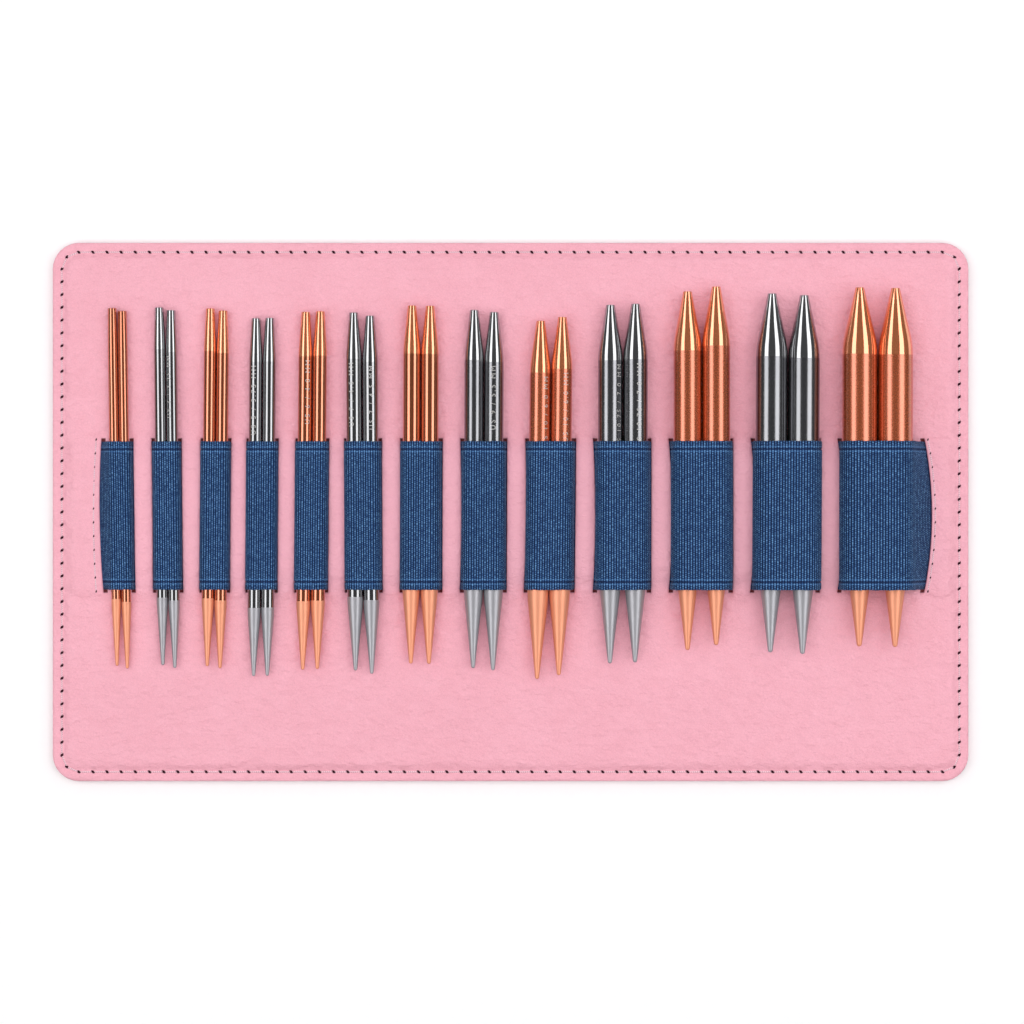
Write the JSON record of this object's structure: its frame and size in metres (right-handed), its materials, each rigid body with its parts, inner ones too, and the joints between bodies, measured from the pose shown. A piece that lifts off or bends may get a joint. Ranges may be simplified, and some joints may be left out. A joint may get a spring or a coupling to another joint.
{
  "type": "interchangeable knitting needle set",
  "caption": "Pairs of screw-on metal knitting needle tips, graded by size, held on a stitched leather board by a woven elastic band that they slide out of.",
  "frame": {"origin": "centre of the board's back face", "axes": "+X along the board's long side from the thinnest tips to the thickest, +Y towards the cord ends of the tips, +Z out of the face that carries the tips"},
  "size_m": [0.262, 0.154, 0.0149],
  "materials": {
    "leather": "fine grain, semi-matte",
    "stiffener": "pressed board",
    "foam": "closed-cell foam",
    "elastic": "ribbed woven elastic",
    "thread": "twisted thread",
    "copper_finish": "anodised, satin shaft with a polished cord end and a matte point",
    "gunmetal_finish": "anodised, satin shaft with a polished cord end and a matte point"
  },
  "bodies": {
    "holder": {"back_cover": "leather", "stiffener_board": "stiffener", "foam_padding": "foam", "front_cover": "leather", "elastic_band": "elastic", "edge_stitching_front": "thread", "edge_stitching_back": "thread", "band_stitching": "thread"},
    "tip_2_75mm_left": {"needle_tip_2_75mm_left": "copper_finish"},
    "tip_2_75mm_right": {"needle_tip_2_75mm_right": "copper_finish"},
    "tip_3_25mm_left": {"needle_tip_3_25mm_left": "gunmetal_finish"},
    "tip_3_25mm_right": {"needle_tip_3_25mm_right": "gunmetal_finish"},
    "tip_3_5mm_left": {"needle_tip_3_5mm_left": "copper_finish"},
    "tip_3_5mm_right": {"needle_tip_3_5mm_right": "copper_finish"},
    "tip_3_75mm_left": {"needle_tip_3_75mm_left": "gunmetal_finish"},
    "tip_3_75mm_right": {"needle_tip_3_75mm_right": "gunmetal_finish"},
    "tip_4mm_left": {"needle_tip_4mm_left": "copper_finish"},
    "tip_4mm_right": {"needle_tip_4mm_right": "copper_finish"},
    "tip_4_5mm_left": {"needle_tip_4_5mm_left": "gunmetal_finish"},
    "tip_4_5mm_right": {"needle_tip_4_5mm_right": "gunmetal_finish"},
    "tip_5mm_left": {"needle_tip_5mm_left": "copper_finish"},
    "tip_5mm_right": {"needle_tip_5mm_right": "copper_finish"},
    "tip_5_5mm_left": {"needle_tip_5_5mm_left": "gunmetal_finish"},
    "tip_5_5mm_right": {"needle_tip_5_5mm_right": "gunmetal_finish"},
    "tip_6mm_left": {"needle_tip_6mm_left": "copper_finish"},
    "tip_6mm_right": {"needle_tip_6mm_right": "copper_finish"},
    "tip_7mm_left": {"needle_tip_7mm_left": "gunmetal_finish"},
    "tip_7mm_right": {"needle_tip_7mm_right": "gunmetal_finish"},
    "tip_8mm_left": {"needle_tip_8mm_left": "copper_finish"},
    "tip_8mm_right": {"needle_tip_8mm_right": "copper_finish"},
    "tip_9mm_left": {"needle_tip_9mm_left": "gunmetal_finish"},
    "tip_9mm_right": {"needle_tip_9mm_right": "gunmetal_finish"},
    "tip_10mm_left": {"needle_tip_10mm_left": "copper_finish"},
    "tip_10mm_right": {"needle_tip_10mm_right": "copper_finish"}
  },
  "joints": [
    {"name": "slide_2_75mm_left", "type": "slide", "parent": "holder", "child": "tip_2_75mm_left", "axis": [-0.014, 0.9999, 0], "range_m": [0, 0.0662]},
    {"name": "slide_2_75mm_right", "type": "slide", "parent": "holder", "child": "tip_2_75mm_right", "axis": [-0.014, 0.9999, 0], "range_m": [0, 0.067]},
    {"name": "slide_3_25mm_left", "type": "slide", "parent": "holder", "child": "tip_3_25mm_left", "axis": [-0.0105, 0.9999, 0], "range_m": [0, 0.066]},
    {"name": "slide_3_25mm_right", "type": "slide", "parent": "holder", "child": "tip_3_25mm_right", "axis": [-0.0105, 0.9999, 0], "range_m": [0, 0.0668]},
    {"name": "slide_3_5mm_left", "type": "slide", "parent": "holder", "child": "tip_3_5mm_left", "axis": [0.0087, 1, 0], "range_m": [0, 0.0663]},
    {"name": "slide_3_5mm_right", "type": "slide", "parent": "holder", "child": "tip_3_5mm_right", "axis": [0.0087, 1, 0], "range_m": [0, 0.0669]},
    {"name": "slide_3_75mm_left", "type": "slide", "parent": "holder", "child": "tip_3_75mm_left", "axis": [0.007, 1, 0], "range_m": [0, 0.0691]},
    {"name": "slide_3_75mm_right", "type": "slide", "parent": "holder", "child": "tip_3_75mm_right", "axis": [0.007, 1, 0], "range_m": [0, 0.069]},
    {"name": "slide_4mm_left", "type": "slide", "parent": "holder", "child": "tip_4mm_left", "axis": [0.0087, 1, 0], "range_m": [0, 0.0673]},
    {"name": "slide_4mm_right", "type": "slide", "parent": "holder", "child": "tip_4mm_right", "axis": [0.0087, 1, 0], "range_m": [0, 0.0671]},
    {"name": "slide_4_5mm_left", "type": "slide", "parent": "holder", "child": "tip_4_5mm_left", "axis": [-0.0052, 1, 0], "range_m": [0, 0.0675]},
    {"name": "slide_4_5mm_right", "type": "slide", "parent": "holder", "child": "tip_4_5mm_right", "axis": [-0.0052, 1, 0], "range_m": [0, 0.0684]},
    {"name": "slide_5mm_left", "type": "slide", "parent": "holder", "child": "tip_5mm_left", "axis": [0.0035, 1, 0], "range_m": [0, 0.0655]},
    {"name": "slide_5mm_right", "type": "slide", "parent": "holder", "child": "tip_5mm_right", "axis": [0.0035, 1, 0], "range_m": [0, 0.0656]},
    {"name": "slide_5_5mm_left", "type": "slide", "parent": "holder", "child": "tip_5_5mm_left", "axis": [0.0035, 1, 0], "range_m": [0, 0.0668]},
    {"name": "slide_5_5mm_right", "type": "slide", "parent": "holder", "child": "tip_5_5mm_right", "axis": [0.0035, 1, 0], "range_m": [0, 0.0674]},
    {"name": "slide_6mm_left", "type": "slide", "parent": "holder", "child": "tip_6mm_left", "axis": [0.0105, 0.9999, 0], "range_m": [0, 0.0699]},
    {"name": "slide_6mm_right", "type": "slide", "parent": "holder", "child": "tip_6mm_right", "axis": [0.0105, 0.9999, 0], "range_m": [0, 0.0688]},
    {"name": "slide_7mm_left", "type": "slide", "parent": "holder", "child": "tip_7mm_left", "axis": [0.0017, 1, 0], "range_m": [0, 0.0654]},
    {"name": "slide_7mm_right", "type": "slide", "parent": "holder", "child": "tip_7mm_right", "axis": [0.0017, 1, 0], "range_m": [0, 0.0651]},
    {"name": "slide_8mm_left", "type": "slide", "parent": "holder", "child": "tip_8mm_left", "axis": [0, 1, 0], "range_m": [0, 0.0616]},
    {"name": "slide_8mm_right", "type": "slide", "parent": "holder", "child": "tip_8mm_right", "axis": [0, 1, 0], "range_m": [0, 0.0602]},
    {"name": "slide_9mm_left", "type": "slide", "parent": "holder", "child": "tip_9mm_left", "axis": [0.0052, 1, 0], "range_m": [0, 0.0622]},
    {"name": "slide_9mm_right", "type": "slide", "parent": "holder", "child": "tip_9mm_right", "axis": [0.0052, 1, 0], "range_m": [0, 0.0627]},
    {"name": "slide_10mm_left", "type": "slide", "parent": "holder", "child": "tip_10mm_left", "axis": [0.0017, 1, 0], "range_m": [0, 0.0605]},
    {"name": "slide_10mm_right", "type": "slide", "parent": "holder", "child": "tip_10mm_right", "axis": [0.0017, 1, 0], "range_m": [0, 0.0607]}
  ]
}
